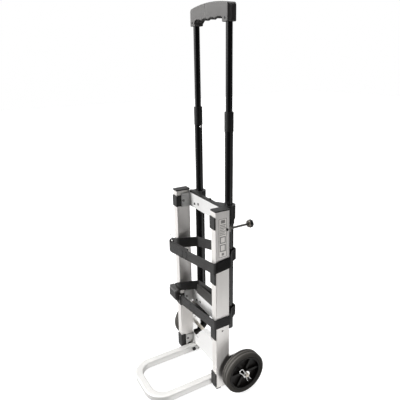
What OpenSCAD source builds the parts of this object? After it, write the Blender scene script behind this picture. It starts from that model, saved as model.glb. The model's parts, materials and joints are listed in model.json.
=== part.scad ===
// Folding hand truck: box-section frame, two-stage pull-out handle, folding toe loop, two wheels.
// Millimetres, +Z up, the load side faces -Y, the origin is on the floor under the middle.

/* [Frame] */
// width over the outer faces of the two posts
frame_w = 227; // [221:1:233]
// side-to-side width of the post section
post_w = 22; // [21:0.5:23]
// height of the open top end of the posts
post_top = 522; // [518:1:528]
// wall thickness of the post section
post_wall = 2; // [1.5:0.25:2.25]
// distance of each handle tube from the middle
tube_x = 73.8; // [72:0.2:74.4]

/* [Handle] */
// height of the top of the grip above the floor
grip_top = 990; // [982:1:1000]
// overall width of the grip
grip_w = 168; // [167:1:176]
// front-to-back depth of the grip
grip_d = 24; // [23:1:27]
// depth of the finger scallops under the grip
scallop_depth = 3; // [2:0.5:4]
// radius of the top handle tubes
upper_r = 8; // [7.5:0.1:8]

/* [Toe] */
// distance from the posts' front faces to the front of the toe loop
toe_reach = 177; // [160:1:190]
// outer corner radius of the toe loop
toe_corner = 57; // [45:1:60]
// height of the toe tube section
toe_h = 20; // [18:0.5:20]

/* [Wheels] */
// radius of the tyres
wheel_r = 60; // [58:0.5:60]
// width of the tyres
wheel_w = 26; // [24:1:27]
// number of spokes in each wheel hub
spokes = 6; // [5:1:8]

/* [Straps] */
// height of the upper strap's webbing
upper_strap_h = 30; // [25:1:32]
// height of the lower strap's webbing
lower_strap_h = 28; // [24:1:28]

/* [Part] */
// which part to draw

/* [Hidden] */

round_fn = 64;
hex_fn = 6;
through = 1;
slip = 0.2;
fit_r = 0.08;
snug = 0.05;
gap = 0.1;
bite = 0.5;
overlap = 1;

// posts
post_d = 40;
post_z0 = 8;
post_out = frame_w / 2;
post_in = post_out - post_w;
post_mid = post_out - post_w / 2;
post_r = 1.5;
post_r_in = 0.5;
cap_h = 3;
cap_over = 1.5;
cap_insert_h = 10;
plug_z0 = 5;
plug_insert_h = 10;
access_r = 2.5;
access_y = 19;

// pads on the posts
pad_t = 3;
pad_wrap = 12;
pad_spans = [[12, 52], [163, 198], [327, 362], [477, 508]];
pad_edge = 1.5;

// sheet parts
sheet = 3;
web_y0 = post_d;
web_y1 = post_d + sheet;
tab_y0 = 13;
bend_r = 3.5;
bend_r_in = 0.5;
top_bar_z = [474, 514];
mid_bar_z = [168, 206];
screw_x = 62;
screw_up = 13;
web_rivet_x = 42;
web_rivet_up = 17;
rivet_r = 2;
rivet_hole_r = 2.05;
rivet_head_r = 3.6;
rivet_head_t = 1.4;
rivet_tail_r = 3;
rivet_y = 18.7;
rivet_up = 18.5;
screw_r = 1.6;
screw_hole_r = 1.65;
screw_head_r = 3.1;
screw_head_t = 1.4;
screw_end = web_y1 + 2.5;
web_rivet_head_t = 1;

// lower plate
plate_z0 = 20.6;
plate_z1 = 102;
plate_side_z1 = 50;
plate_half = 50;
plate_cut = 28;
plate_tab_z = [22, 48];
plate_rivet_z = 36;
plate_rivet_end = post_in + 12;
plate_y0 = post_d - sheet;
flange_half = 58;
flange_top_half = plate_half - plate_cut - bite;
flange_top_y = 49;
flange_low_y = 47;

// tubes
tube_y = 63.3;
outer_r = 12.5;
outer_in = 11;
outer_z0 = 166;
outer_z1 = 515;
middle_r = 10;
middle_in = 8.7;
middle_z0 = 465;
middle_z1 = 747;
upper_in = upper_r - 1.2;
upper_z0 = 680;
upper_z1 = grip_top - 13;
low_button_z = 497;
top_button_z = 698;
button_r = 3;
button_tip_r = 2.1;
button_tip_h = 1;
low_button_span = [7, 14.2];
top_button_span = [4.7, 11.6];
button_bore = 3.1;
button_clear = 3.2;
window_r = 3.6;

// collars and guide bushes
collar_r = 11;
collar_z0 = 703;
collar_z1 = 749;
middle_bush_z = [465, 487];
upper_bush_z = [680, 690];
bush_gap = 0.1;
leaf_t = 0.6;
leaf_w = 5;
top_leaf_z = [678, 702];
low_leaf_z = [475, 501];

// tube holders
ring_top_r = 17;
ring_mid_r = 14.6;
ring_low_r = 15;
ring_top_z = [484, 520];
sleeve_z0 = 470;
strip_z = [514, 520];
holder_y1 = 47;
holder_half = 92;
flare_reach = 38;
flare_t = 4;
flare_end = 0.4 * ring_top_r;
holder_step = 4;
nub_x = 15;
nub_w = 7;
nub_d = 5;
nub_y0 = post_d + 1;
nub_h = 3;
low_bar_z = [206, 234];
low_bar_half = 60;
low_skirt_z0 = 170;
low_skirt_half = 87;
low_ring_z = [196, 210.5];
low_neck_half = ring_low_r - 2;
skirt_y0 = web_y1;

// tube feet
foot_t = 3;
foot_insert_h = 12;

// wheels and axle
axle_y = 65.8;
axle_z = wheel_r;
axle_r = 5;
axle_half = 165;
axle_bore = 5.06;
wheel_in = 130;
hub_in = 128;
hub_out = wheel_in + wheel_w + 2;
washer_t = 1.5;
washer_r = 10;
washer_x = hub_out + 0.3;
spacer_r = 8;
tyre_in = 48;
tyre_shoulder = 4;
groove_r = 0.9;
groove_at = wheel_r + 0.2;
groove_n = 6;
rim_t = 4;
rim_inset = 1;
rim_in = tyre_in - rim_t;
boss_r = 12;
boss_bore = 5.08;
disc_z = [9, 13];
spoke_w = 7;
spoke_z = [4, 20];
clip_x = 162.5;
clip_wire = 1.4;
clip_hole = 1.05;
clip_tilt = -52;
clip_leg = 22;
clip_loop_u = -21;
clip_gap = 8;
clip_flare = 11;
clip_bend = 4;
bracket_t = 2.5;
bracket_z = [38, 98];
bracket_side_z0 = bracket_z[0] + 4;
bracket_ear_z1 = bracket_z[1] - 16;
bracket_x0 = 93;
bracket_y1 = 77;
bracket_nose_r = 12;
bracket_bolt_z = [44, 90];
bracket_bolt_r = 2.5;
bracket_head_r = 4.5;
bracket_head_t = 3;
bracket_bolt_in = 30;
bracket_hole = [59, 88, 2.2];

// hinge of the toe loop
pivot_y = 26;
pivot_z = 10;
pivot_r = 3;
pivot_bore = 3.08;
pivot_head_r = 5.5;
pivot_head_t = 3;
block_y0 = 14.2;
block_y1 = 37.8;
block_z1 = 49.8;
block_bore_extra = 2;
leg_out = 84.5;
leg_w = 21;
leg_in = leg_out - leg_w;
leg_mid = leg_out - leg_w / 2;
leg_rear = 43;
leg_edge = 4;
leg_wall = 2;
leg_edge_in = 2;
end_t = 2;
end_insert = 8;
toe_spacer_r = 8;
arc_r = toe_corner - leg_w / 2;
arc_y = toe_corner - toe_reach;
arc_x = leg_out - toe_corner;

// grip
grip_half = grip_w / 2;
grip_y0 = tube_y - grip_d / 2;
grip_y1 = tube_y + grip_d / 2;
arch_r = 500;
arch_cz = grip_top - arch_r;
end_r = 8;
end_x = grip_half - end_r;
end_z = arch_cz + sqrt(pow(arch_r - end_r, 2) - pow(end_x, 2));
touch_x = end_x * arch_r / (arch_r - end_r);
socket_in = 61;
socket_bore = upper_r + snug;
grip_low = grip_top - 46;
under_z = grip_top - 36;
scallops = 4;
scallop_pitch = 2 * socket_in / scallops;
scallop_r = (pow(scallop_pitch / 2, 2) + pow(scallop_depth, 2)) / (2 * scallop_depth);
cavity_half = 54;
cavity_z = [grip_top - 28, grip_top - 11];
grip_wall = 3;
grip_screw_z = grip_top - 38;
grip_screw_r = 1.5;
grip_head_r = 2.6;
grip_head_t = 1.6;
grip_head_y = grip_y0 + 0.4;
grip_screw_end = tube_y - upper_in + 1.2;
notch_x = -15;
notch_r = 1.6;

// rod and knob behind the right post
rod_x = 106;
rod_z = 470;
rod_r = 2.75;
rod_bore = 2.8;
rod_y0 = 34;
rod_y1 = 109;
rod_block = [98, 113, 463, 478];
rod_block_y1 = 44;
rod_washer_y = [101, 103.5];
rod_washer_r = 9;
knob_y1 = 111;
knob_y0 = knob_y1 - 7;
knob_r = 10.5;
knob_neck_r = 8;
knob_lobe_r = 2;
knob_lobes = 6;
rod_screw_y = 33;
rod_screw_z = 472;
rod_screw_x0 = post_out - post_wall - 2;

// straps: x, y and height of the band's middle at each bend
band_t = 2.4;
mitre_limit = 0.6;
upper_route = [
  [-105, -11, 343], [112, -5, 374], [115.3, -1.5, 376], [115.3, 42, 382], [98, 72, 384],
  [84, 80, 385], [70, 80.4, 385], [-63, 48.9, 370], [-85, -2, 370], [-90.5, -6, 369],
  [-110, -5.5, 360], [-118, -7.5, 352], [-115, -11, 346]
];
lower_route = [
  [-103, -11, 190], [112, -5, 212], [115.3, -1.5, 213], [115.3, 42, 214], [98, 72, 216],
  [84, 80, 217], [70, 80.4, 217], [-63, 48.9, 229.5], [-85, -2, 229], [-90.5, -6, 226],
  [-110, -5.5, 215], [-118, -7.5, 207], [-115, -11, 200]
];
hook_at = [-121, -12.9, 369];
hook_r = 6;
hook_wire = 1.2;
hook_shank = 9;
buckle_at = [-108, -16.6, 207];
buckle_size = [20, 4, 34];
buckle_slots = 3;
slot_size = [14, 5];
slot_pitch = 9.5;
buckle_r = 2;

// label
label_t = 0.3;
label_y = [7, 33];
label_z = [400, 505];

// the whole truck is centred front to back over the origin
front_y = (toe_reach - axle_y - wheel_r) / 2;

silver = [0.80, 0.80, 0.79];
white = [0.92, 0.92, 0.91];
zinc = [0.72, 0.73, 0.75];
steel = [0.62, 0.63, 0.65];
black = [0.07, 0.07, 0.08];
dark = [0.20, 0.20, 0.21];
grey = [0.42, 0.42, 0.43];
webbing = [0.27, 0.27, 0.29];

module placed() {
  translate([0, front_y, 0])
    children();
}

module flipped() {
  mirror([1, 0, 0])
    children();
}

module both() {
  children();
  flipped()
    children();
}

module box_at(x, y, z) {
  translate([x[0], y[0], z[0]])
    cube([x[1] - x[0], y[1] - y[0], z[1] - z[0]]);
}

module bar_x(x, y, z, r) {
  translate([x[0], y, z])
    rotate([0, 90, 0])
      cylinder(h = x[1] - x[0], r = r, $fn = round_fn);
}

module bar_y(x, y, z, r) {
  translate([x, y[0], z])
    rotate([-90, 0, 0])
      cylinder(h = y[1] - y[0], r = r, $fn = round_fn);
}

module bar_z(x, y, z, r) {
  translate([x, y, z[0]])
    cylinder(h = z[1] - z[0], r = r, $fn = round_fn);
}

module rounded_rect(w, d, r) {
  square([w - 2 * r, d], center = true);
  square([w, d - 2 * r], center = true);
  for (sx = [-1, 1])
    for (sy = [-1, 1])
      translate([sx * (w / 2 - r), sy * (d / 2 - r)])
        circle(r = r, $fn = round_fn);
}

module post(with_rod) {
  difference() {
    translate([post_mid, post_d / 2, post_z0])
      linear_extrude(post_top - post_z0)
        difference() {
          rounded_rect(post_w, post_d, post_r);
          rounded_rect(post_w - 2 * post_wall, post_d - 2 * post_wall, post_r_in);
        }
    box_at([post_in - through, post_in + post_wall + through], [block_y0 - slip, block_y1 + slip],
      [post_z0 - through, block_z1 + slip]);
    for (z = [top_bar_z[0] + rivet_up, mid_bar_z[0] + rivet_up])
      bar_x([post_in - through, post_in + post_wall + through], rivet_y, z, rivet_hole_r);
    for (z = [top_bar_z[0] + rivet_up, mid_bar_z[0] + rivet_up])
      bar_x([post_out - post_wall - through, post_out + through], access_y, z, access_r);
    for (z = bracket_bolt_z)
      bar_y(post_mid, [post_d - post_wall - through, post_d + through], z, bracket_bolt_r + snug);
    if (with_rod) {
      bar_y(rod_x, [post_d - post_wall - through, post_d + through], rod_z, rod_bore);
      bar_x([post_out - post_wall - through, post_out + through], rod_screw_y, rod_screw_z,
        screw_hole_r);
    }
  }
}

module left_post() {
  color(silver)
    flipped()
      post(false);
}

module right_post() {
  color(silver)
    post(true);
}

module post_cap() {
  translate([post_mid, post_d / 2, post_top])
    linear_extrude(cap_h)
      rounded_rect(post_w + 2 * cap_over, post_d + 2 * cap_over, post_r + cap_over);
  inside = post_wall + slip;
  translate([post_mid, post_d / 2, post_top - cap_insert_h])
    linear_extrude(cap_insert_h + bite)
      rounded_rect(post_w - 2 * inside, post_d - 2 * inside, post_r_in);
}

module post_caps() {
  color(black)
    both()
      post_cap();
}

module foot_plug() {
  inside = post_wall + slip;
  box_at([post_in, post_out], [0, block_y0 - slip], [plug_z0, post_z0]);
  box_at([post_in + inside, post_out - inside], [inside, block_y0 - slip],
    [post_z0 - bite, post_z0 + plug_insert_h]);
}

module post_foot_plugs() {
  color(black)
    both()
      foot_plug();
}

module pad(span) {
  difference() {
    union() {
      box_at([post_in - pad_t, post_out - pad_edge], [-pad_t, 0], span);
      box_at([post_in - pad_t, post_in], [-pad_t, pad_wrap], span);
    }
    translate([post_in - pad_t, -pad_t, span[0] - through])
      corner_cut(pad_edge, span[1] - span[0] + 2 * through);
  }
}

// square edge minus a quarter round, for taking the edge off a corner at the origin
module corner_cut(r, h) {
  difference() {
    translate([-through, -through, 0])
      cube([r + through, r + through, h]);
    translate([r, r, -through])
      cylinder(h = h + 2 * through, r = r, $fn = round_fn);
  }
}

module pads() {
  for (span = pad_spans)
    pad(span);
}

module left_pads() {
  color(dark)
    flipped()
      pads();
}

module right_pads() {
  color(dark)
    pads();
}

module crossbar(z) {
  depth = web_y1 - tab_y0;
  difference() {
    translate([0, 0, z[0]])
      linear_extrude(z[1] - z[0])
        difference() {
          translate([0, tab_y0])
            rounded_rect(2 * post_in, 2 * depth, bend_r);
          translate([0, tab_y0])
            rounded_rect(2 * (post_in - sheet), 2 * (depth - sheet), bend_r_in);
          translate([0, tab_y0 - depth])
            square([2 * post_in + 2 * through, 2 * depth], center = true);
        }
    for (s = [-1, 1]) {
      bar_x([s * post_in - sheet - through, s * post_in + sheet + through], rivet_y,
        z[0] + rivet_up, rivet_hole_r);
      bar_y(s * screw_x, [web_y0 - through, web_y1 + through], z[0] + screw_up, screw_hole_r);
      bar_y(s * web_rivet_x, [web_y0 - through, web_y1 + through], z[0] + web_rivet_up,
        rivet_hole_r);
    }
  }
}

module top_crossbar() {
  color(white)
    crossbar(top_bar_z);
}

module mid_crossbar() {
  color(white)
    crossbar(mid_bar_z);
}

module lower_plate() {
  color(white)
    difference() {
      union() {
        translate([0, post_d, 0])
          rotate([90, 0, 0])
            linear_extrude(post_d - plate_y0)
              polygon([
                [-post_in, plate_z0], [post_in, plate_z0], [post_in, plate_side_z1],
                [plate_half, plate_side_z1], [plate_half, plate_z1 - plate_cut],
                [plate_half - plate_cut, plate_z1], [plate_cut - plate_half, plate_z1],
                [-plate_half, plate_z1 - plate_cut], [-plate_half, plate_side_z1],
                [-post_in, plate_side_z1]
              ]);
        both()
          box_at([post_in - sheet, post_in], [tab_y0, post_d], plate_tab_z);
        box_at([-flange_top_half, flange_top_half], [plate_y0, flange_top_y],
          [plate_z1 - sheet, plate_z1]);
        box_at([-flange_half, flange_half], [plate_y0, flange_low_y],
          [plate_z0, plate_z0 + sheet]);
      }
      both()
        bar_x([post_in - sheet - through, post_in + through], rivet_y, plate_rivet_z,
          rivet_hole_r);
    }
}

module flare() {
  far = holder_y1 + flare_reach - ring_top_r - overlap;
  translate([0, 0, strip_z[1] - flare_t])
    linear_extrude(flare_t)
      polygon([
        [tube_x - flare_reach, holder_y1 - overlap],
        [tube_x - flare_end, far],
        [tube_x + flare_end, far],
        [holder_half - overlap, holder_y1 - overlap]
      ]);
}

module top_tube_holder() {
  color(black)
    difference() {
      union() {
        box_at([-holder_half, holder_half], [post_d, holder_y1], strip_z);
        box_at([-holder_half + holder_step, holder_half - holder_step], [skirt_y0, holder_y1],
          [ring_top_z[0], strip_z[1]]);
        both() {
          flare();
          bar_z(tube_x, tube_y, ring_top_z, ring_top_r);
          bar_z(tube_x, tube_y, [sleeve_z0, ring_top_z[1]], ring_mid_r);
        }
        box_at([nub_x - nub_w / 2, nub_x + nub_w / 2], [nub_y0, nub_y0 + nub_d],
          [strip_z[1] - overlap, strip_z[1] + nub_h]);
      }
      both() {
        bar_z(tube_x, tube_y, [sleeve_z0 - through, outer_z1], outer_r);
        bar_z(tube_x, tube_y, [outer_z1 - through, strip_z[1] + through], middle_r + fit_r);
        bar_x([tube_x - ring_top_r - through, tube_x], tube_y, low_button_z, window_r);
        bar_y(screw_x, [skirt_y0 - through, holder_y1 - overlap], top_bar_z[0] + screw_up,
          screw_hole_r);
        bar_y(web_rivet_x, [skirt_y0 - through, holder_y1 - overlap], top_bar_z[0] + web_rivet_up,
          rivet_hole_r);
      }
    }
}

module lower_tube_holder() {
  color(dark)
    difference() {
      union() {
        box_at([-low_bar_half, low_bar_half], [post_d, holder_y1], low_bar_z);
        box_at([-low_skirt_half, low_skirt_half], [skirt_y0, holder_y1],
          [low_skirt_z0, low_bar_z[0] + bite]);
        both() {
          bar_z(tube_x, tube_y, low_ring_z, ring_low_r);
          box_at([tube_x - low_neck_half, tube_x + low_neck_half], [skirt_y0, tube_y],
            [low_ring_z[0], low_bar_z[0]]);
        }
      }
      both() {
        bar_z(tube_x, tube_y, [low_ring_z[0] - through, low_ring_z[1] + through], outer_r);
        bar_y(screw_x, [skirt_y0 - through, holder_y1 - overlap], mid_bar_z[0] + screw_up,
          screw_hole_r);
        bar_y(web_rivet_x, [skirt_y0 - through, holder_y1 - overlap], mid_bar_z[0] + web_rivet_up,
          rivet_hole_r);
      }
    }
}

module tube(z, r, r_in) {
  difference() {
    bar_z(tube_x, tube_y, z, r);
    bar_z(tube_x, tube_y, [z[0] - through, z[1] + through], r_in);
  }
}

module inward_hole(z, r) {
  bar_x([tube_x - outer_r - through, tube_x], tube_y, z, r);
}

module outer_tube() {
  difference() {
    tube([outer_z0, outer_z1], outer_r, outer_in);
    inward_hole(low_button_z, button_clear);
  }
}

module left_outer_tube() {
  color(black)
    flipped()
      outer_tube();
}

module right_outer_tube() {
  color(black)
    outer_tube();
}

module middle_tube() {
  difference() {
    tube([middle_z0, middle_z1], middle_r, middle_in);
    inward_hole(low_button_z, button_bore);
    inward_hole(top_button_z, button_clear);
  }
}

module left_middle_tube() {
  color(black)
    flipped()
      middle_tube();
}

module right_middle_tube() {
  color(black)
    middle_tube();
}

module upper_tube() {
  difference() {
    tube([upper_z0, upper_z1], upper_r, upper_in);
    inward_hole(top_button_z, button_bore);
    bar_y(tube_x, [grip_y0, tube_y], grip_screw_z, grip_screw_r + snug);
  }
}

module left_upper_tube() {
  color(black)
    flipped()
      upper_tube();
}

module right_upper_tube() {
  color(black)
    upper_tube();
}

module collar() {
  difference() {
    bar_z(tube_x, tube_y, [collar_z0, collar_z1], collar_r);
    bar_z(tube_x, tube_y, [collar_z0 - through, middle_z1], middle_r);
    bar_z(tube_x, tube_y, [middle_z1 - through, collar_z1 + through], upper_r + fit_r);
  }
}

module left_collar() {
  color(black)
    flipped()
      collar();
}

module right_collar() {
  color(black)
    collar();
}

module middle_bushes() {
  color(grey)
    both()
      tube(middle_bush_z, outer_in - bush_gap, middle_r);
}

module upper_bushes() {
  color(grey)
    both()
      tube(upper_bush_z, middle_in - bush_gap, upper_r);
}

// U-shaped leaf spring standing in a tube, open end up
module leaf_spring(z, half) {
  translate([tube_x, tube_y + leaf_w / 2, z[0] + half])
    rotate([90, 0, 0])
      linear_extrude(leaf_w) {
        difference() {
          circle(r = half, $fn = round_fn);
          circle(r = half - leaf_t, $fn = round_fn);
          translate([-2 * half, 0])
            square([4 * half, 2 * half]);
        }
        for (x = [-half, half - leaf_t])
          translate([x, 0])
            square([leaf_t, z[1] - z[0] - half]);
      }
}

module lower_button_springs() {
  color(steel)
    both()
      leaf_spring(low_leaf_z, low_button_span[0] - gap);
}

module upper_button_springs() {
  color(steel)
    both()
      leaf_spring(top_leaf_z, top_button_span[0] - gap);
}

module snap_button(z, span) {
  length = span[1] - span[0] - button_tip_h;
  translate([tube_x - span[0], tube_y, z])
    rotate([0, -90, 0]) {
      cylinder(h = length, r = button_r, $fn = round_fn);
      translate([0, 0, length])
        cylinder(h = button_tip_h, r1 = button_r, r2 = button_tip_r, $fn = round_fn);
    }
}

module left_upper_button() {
  color(steel)
    flipped()
      snap_button(top_button_z, top_button_span);
}

module right_upper_button() {
  color(steel)
    snap_button(top_button_z, top_button_span);
}

module left_lower_button() {
  color(steel)
    flipped()
      snap_button(low_button_z, low_button_span);
}

module right_lower_button() {
  color(steel)
    snap_button(low_button_z, low_button_span);
}

module grip_profile() {
  difference() {
    union() {
      intersection() {
        translate([0, arch_cz])
          circle(r = arch_r, $fn = 4 * round_fn);
        translate([-touch_x, grip_low])
          square([2 * touch_x, grip_top - grip_low + through]);
      }
      translate([-grip_half, grip_low])
        square([grip_w, end_z - grip_low]);
      for (s = [-1, 1])
        translate([s * end_x, end_z])
          circle(r = end_r, $fn = round_fn);
    }
    translate([-socket_in, grip_low - through])
      square([2 * socket_in, under_z - grip_low + through]);
    for (i = [0 : scallops - 1])
      translate([(i + 0.5) * scallop_pitch - socket_in, under_z + scallop_depth - scallop_r])
        circle(r = scallop_r, $fn = 2 * round_fn);
    translate([notch_x, arch_cz + sqrt(pow(arch_r, 2) - pow(notch_x, 2))])
      circle(r = notch_r, $fn = round_fn);
  }
}

module grip_half_solid(y) {
  difference() {
    translate([0, y[1], 0])
      rotate([90, 0, 0])
        linear_extrude(y[1] - y[0])
          grip_profile();
    box_at([-cavity_half, cavity_half], [grip_y0 + grip_wall, grip_y1 - grip_wall], cavity_z);
    both() {
      bar_z(tube_x, tube_y, [grip_low - through, upper_z1], socket_bore);
      bar_y(tube_x, [grip_y0 - through, tube_y], grip_screw_z, grip_screw_r + snug);
      bar_y(tube_x, [grip_y0 - through, grip_head_y + grip_head_t], grip_screw_z,
        grip_head_r + gap);
    }
  }
}

module grip_front() {
  color(grey)
    grip_half_solid([grip_y0, tube_y]);
}

module grip_rear() {
  color(grey)
    grip_half_solid([tube_y, grip_y1]);
}

module grip_screws() {
  color(dark)
    both() {
      bar_y(tube_x, [grip_head_y, grip_head_y + grip_head_t], grip_screw_z, grip_head_r);
      bar_y(tube_x, [grip_head_y, grip_screw_end], grip_screw_z, grip_screw_r);
    }
}

module tube_feet() {
  color(black)
    both() {
      bar_z(tube_x, tube_y, [outer_z0 - foot_t, outer_z0], outer_r);
      bar_z(tube_x, tube_y, [outer_z0 - bite, outer_z0 + foot_insert_h], outer_in - gap);
    }
}

// rivet along +X with its head at the first x
module tab_rivet(z) {
  bar_x([post_in - sheet - rivet_head_t, post_in - sheet], rivet_y, z, rivet_head_r);
  bar_x([post_in - sheet - bite, post_in + post_wall + bite], rivet_y, z, rivet_r);
  bar_x([post_in + post_wall, post_in + post_wall + rivet_head_t], rivet_y, z, rivet_tail_r);
}

module frame_rivets() {
  color(steel)
    both() {
      tab_rivet(top_bar_z[0] + rivet_up);
      tab_rivet(mid_bar_z[0] + rivet_up);
      bar_x([post_in - sheet - rivet_head_t, post_in - sheet], rivet_y, plate_rivet_z,
        rivet_head_r);
      bar_x([post_in - sheet - bite, plate_rivet_end], rivet_y, plate_rivet_z, rivet_r);
      for (z = [top_bar_z[0], mid_bar_z[0]]) {
        bar_y(web_rivet_x, [web_y0 - web_rivet_head_t, web_y0], z + web_rivet_up, rivet_head_r);
        bar_y(web_rivet_x, [web_y0 - bite, screw_end], z + web_rivet_up, rivet_r);
      }
    }
}

module holder_screws() {
  color(dark)
    both()
      for (z = [top_bar_z[0], mid_bar_z[0]]) {
        bar_y(screw_x, [web_y0 - screw_head_t, web_y0], z + screw_up, screw_head_r);
        bar_y(screw_x, [web_y0 - bite, screw_end], z + screw_up, screw_r);
      }
}

module axle_bracket() {
  difference() {
    union() {
      box_at([bracket_x0, post_out], [post_d, post_d + bracket_t], bracket_z);
      box_at([post_out - bracket_t, post_out], [post_d, axle_y],
        [bracket_side_z0, bracket_z[1]]);
      bar_x([post_out - bracket_t, post_out], axle_y, axle_z, bracket_nose_r);
      box_at([post_out - bracket_t, post_out], [axle_y - overlap, bracket_y1],
        [axle_z, bracket_ear_z1]);
    }
    bar_x([post_out - bracket_t - through, post_out + through], axle_y, axle_z, axle_bore);
    bar_x([post_out - bracket_t - through, post_out + through], bracket_hole[0],
      bracket_hole[1], bracket_hole[2]);
    for (z = bracket_bolt_z)
      bar_y(post_mid, [post_d - through, post_d + bracket_t + through], z,
        bracket_bolt_r + snug);
  }
}

module left_axle_bracket() {
  color(zinc)
    flipped()
      axle_bracket();
}

module right_axle_bracket() {
  color(zinc)
    axle_bracket();
}

module bracket_bolts() {
  head_y = post_d + bracket_t;
  color(zinc)
    both()
      for (z = bracket_bolt_z) {
        translate([post_mid, head_y, z])
          rotate([-90, 0, 0])
            cylinder(h = bracket_head_t, r = bracket_head_r, $fn = hex_fn);
        bar_y(post_mid, [bracket_bolt_in, head_y + bite], z, bracket_bolt_r);
      }
}

module axle() {
  color(zinc)
    difference() {
      bar_x([-axle_half, axle_half], axle_y, axle_z, axle_r);
      both()
        translate([clip_x, axle_y, axle_z])
          rotate([clip_tilt, 0, 0])
            bar_y(0, [-axle_r - through, axle_r + through], 0, clip_hole);
    }
}

module axle_spacers() {
  color(dark)
    both()
      difference() {
        bar_x([post_out + gap, hub_in - slip], axle_y, axle_z, spacer_r);
        bar_x([post_out - through, hub_in + through], axle_y, axle_z, axle_bore);
      }
}

module axle_washers() {
  color(zinc)
    both()
      difference() {
        bar_x([washer_x, washer_x + washer_t], axle_y, axle_z, washer_r);
        bar_x([washer_x - through, washer_x + washer_t + through], axle_y, axle_z, axle_bore);
      }
}

// hairpin of square wire lying in the YZ plane: a straight leg, a half loop and a flared leg
module r_clip() {
  half = clip_wire / 2;
  loop_r = clip_gap / 2;
  flare_turn = atan2(clip_flare - clip_gap, clip_leg - clip_bend);
  translate([-half, 0, 0])
    rotate([90, 0, 90])
      linear_extrude(clip_wire) {
        translate([clip_loop_u, -half])
          square([clip_leg - clip_loop_u, clip_wire]);
        translate([clip_loop_u, clip_gap - half])
          square([clip_bend - clip_loop_u, clip_wire]);
        translate([clip_bend, clip_gap])
          rotate(flare_turn) {
            translate([0, -half])
              square([clip_leg - clip_bend, clip_wire]);
            circle(r = half, $fn = round_fn);
          }
        translate([clip_loop_u, loop_r])
          difference() {
            circle(r = loop_r + half, $fn = round_fn);
            circle(r = loop_r - half, $fn = round_fn);
            translate([0, -2 * loop_r])
              square([2 * loop_r, 4 * loop_r]);
          }
      }
}

module axle_clips() {
  color(zinc)
    both()
      translate([clip_x, axle_y, axle_z])
        rotate([clip_tilt, 0, 0])
          mirror([0, 0, 1])
            r_clip();
}

module hinge_block() {
  inside = post_wall + slip;
  difference() {
    box_at([post_in + gap, post_out - inside], [block_y0, block_y1], [plug_z0, block_z1]);
    bar_x([post_in - through, post_out], pivot_y, pivot_z, pivot_bore);
    bar_x([post_in - through, plate_rivet_end + gap], rivet_y, plate_rivet_z, rivet_hole_r);
    bar_y(post_mid, [bracket_bolt_in - block_bore_extra, block_y1 + through], bracket_bolt_z[0],
      bracket_bolt_r + snug);
  }
}

module left_hinge_block() {
  color(zinc)
    flipped()
      hinge_block();
}

module right_hinge_block() {
  color(zinc)
    hinge_block();
}

module toe_pivot_bolts() {
  color(dark)
    both() {
      bar_x([leg_in - pivot_head_t - slip, leg_in - slip], pivot_y, pivot_z, pivot_head_r);
      bar_x([leg_in - overlap, post_out - post_wall - overlap], pivot_y, pivot_z, pivot_r);
    }
}

module toe_spacers() {
  color(black)
    both()
      difference() {
        bar_x([leg_out + slip, post_in - gap], pivot_y, pivot_z, toe_spacer_r);
        bar_x([leg_out, post_in + through], pivot_y, pivot_z, pivot_bore);
      }
}

// solid loop of one section: two legs, two corners and the front bar
module loop_solid(w, h, r, rear) {
  for (s = [-1, 1])
    translate([s * leg_mid, rear, toe_h / 2])
      rotate([90, 0, 0])
        linear_extrude(rear - arc_y)
          rounded_rect(w, h, r);
  translate([-arc_x, arc_y - arc_r, toe_h / 2])
    rotate([90, 0, 90])
      linear_extrude(2 * arc_x)
        rounded_rect(w, h, r);
  for (s = [0, 1])
    mirror([s, 0, 0])
      translate([arc_x, arc_y, toe_h / 2])
        rotate([0, 0, -90])
          rotate_extrude(angle = 90, $fn = 2 * round_fn)
            translate([arc_r, 0])
              rounded_rect(w, h, r);
}

module toe_loop() {
  color(silver)
    difference() {
      loop_solid(leg_w, toe_h, leg_edge, leg_rear);
      loop_solid(leg_w - 2 * leg_wall, toe_h - 2 * leg_wall, leg_edge_in, leg_rear + through);
      bar_x([-leg_out - through, leg_out + through], pivot_y, pivot_z, pivot_bore);
    }
}

module toe_end_plugs() {
  inside = leg_wall + slip / 2;
  color(black)
    both()
      translate([leg_mid, leg_rear + end_t, toe_h / 2])
        rotate([90, 0, 0]) {
          linear_extrude(end_t)
            rounded_rect(leg_w, toe_h, leg_edge);
          linear_extrude(end_t + end_insert)
            rounded_rect(leg_w - 2 * inside, toe_h - 2 * inside, leg_edge_in);
        }
}

// wheels are drawn about +Z with the inner face at z = 0, then laid on the axle
module on_axle(side) {
  translate([side * wheel_in, axle_y, axle_z])
    rotate([0, side * 90, 0])
      children();
}

module tyre() {
  rotate_extrude($fn = 2 * round_fn)
    difference() {
      translate([(wheel_r + tyre_in) / 2, wheel_w / 2])
        rounded_rect(wheel_r - tyre_in, wheel_w, tyre_shoulder);
      for (i = [0 : groove_n - 1])
        translate([groove_at, wheel_w * (i + 1) / (groove_n + 1)])
          circle(r = groove_r, $fn = round_fn);
    }
}

module hub() {
  difference() {
    union() {
      difference() {
        translate([0, 0, rim_inset])
          cylinder(h = wheel_w - 2 * rim_inset, r = tyre_in, $fn = 2 * round_fn);
        cylinder(h = wheel_w, r = rim_in, $fn = 2 * round_fn);
      }
      translate([0, 0, disc_z[0]])
        cylinder(h = disc_z[1] - disc_z[0], r = rim_in + overlap, $fn = 2 * round_fn);
      for (i = [0 : spokes - 1])
        rotate([0, 0, (i + 0.5) * 360 / spokes])
          translate([0, -spoke_w / 2, spoke_z[0]])
            cube([rim_in + overlap, spoke_w, spoke_z[1] - spoke_z[0]]);
      translate([0, 0, hub_in - wheel_in])
        cylinder(h = hub_out - hub_in, r = boss_r, $fn = round_fn);
    }
    translate([0, 0, hub_in - wheel_in - through])
      cylinder(h = hub_out - hub_in + 2 * through, r = boss_bore, $fn = round_fn);
  }
}

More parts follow.
